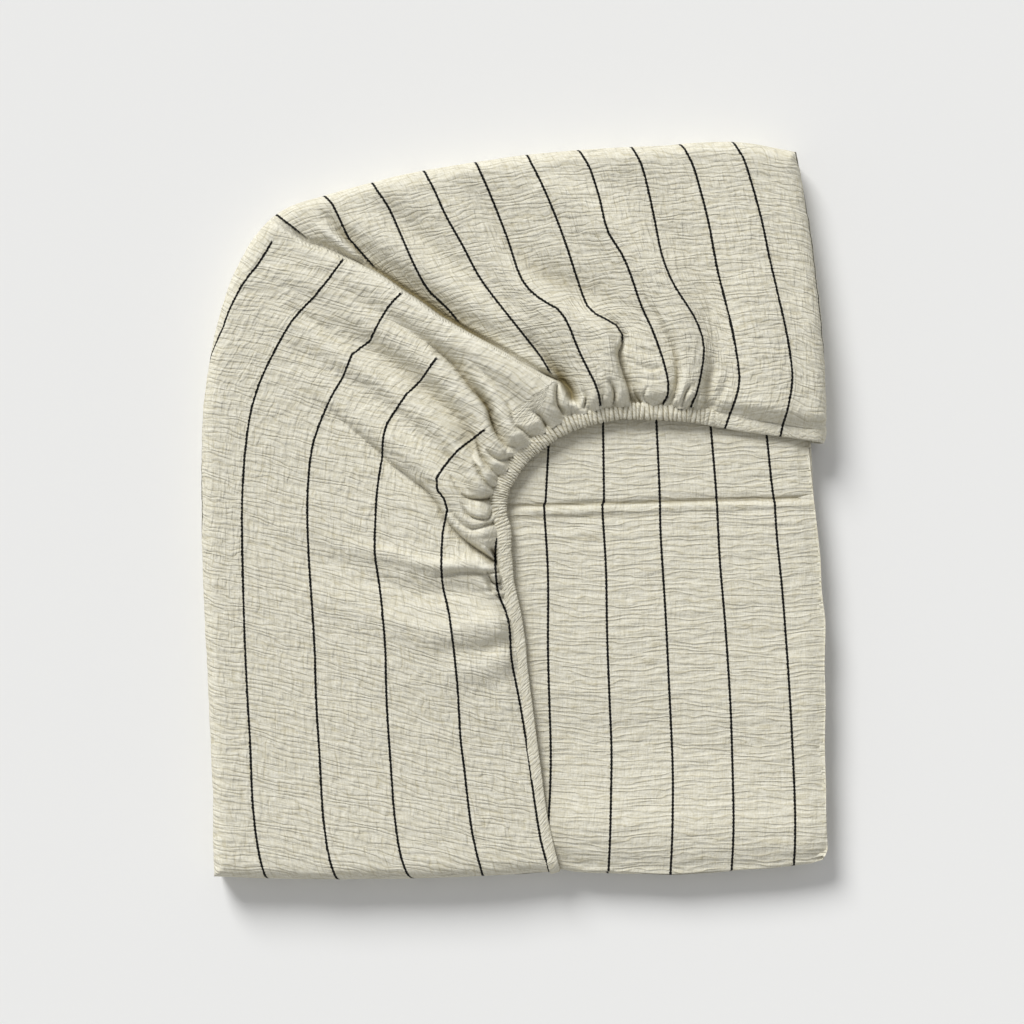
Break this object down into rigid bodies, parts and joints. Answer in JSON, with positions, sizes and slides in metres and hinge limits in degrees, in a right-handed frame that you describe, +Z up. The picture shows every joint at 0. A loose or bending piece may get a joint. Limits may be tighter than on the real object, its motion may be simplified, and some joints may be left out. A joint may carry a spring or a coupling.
{
  "type": "folded fitted sheet",
  "caption": "Fitted cot sheet of crinkled gauze with thin dark stripes, folded into a flat packet with one gathered elastic corner lying on top.",
  "frame": {"origin": "middle of the packet's footprint, on the surface that it lies on", "axes": "+Z up; +Y towards the packet's back edge, the one that the gathered corner wraps; +X to the right, towards the folded edges of the bare panel"},
  "size_m": [0.3768, 0.4434, 0.0326],
  "materials": {
    "gauze": "matt crinkled double gauze, undyed, with thin black woven stripes"
  },
  "bodies": {
    "root": {"folded_sheet": "gauze"}
  },
  "joints": []
}
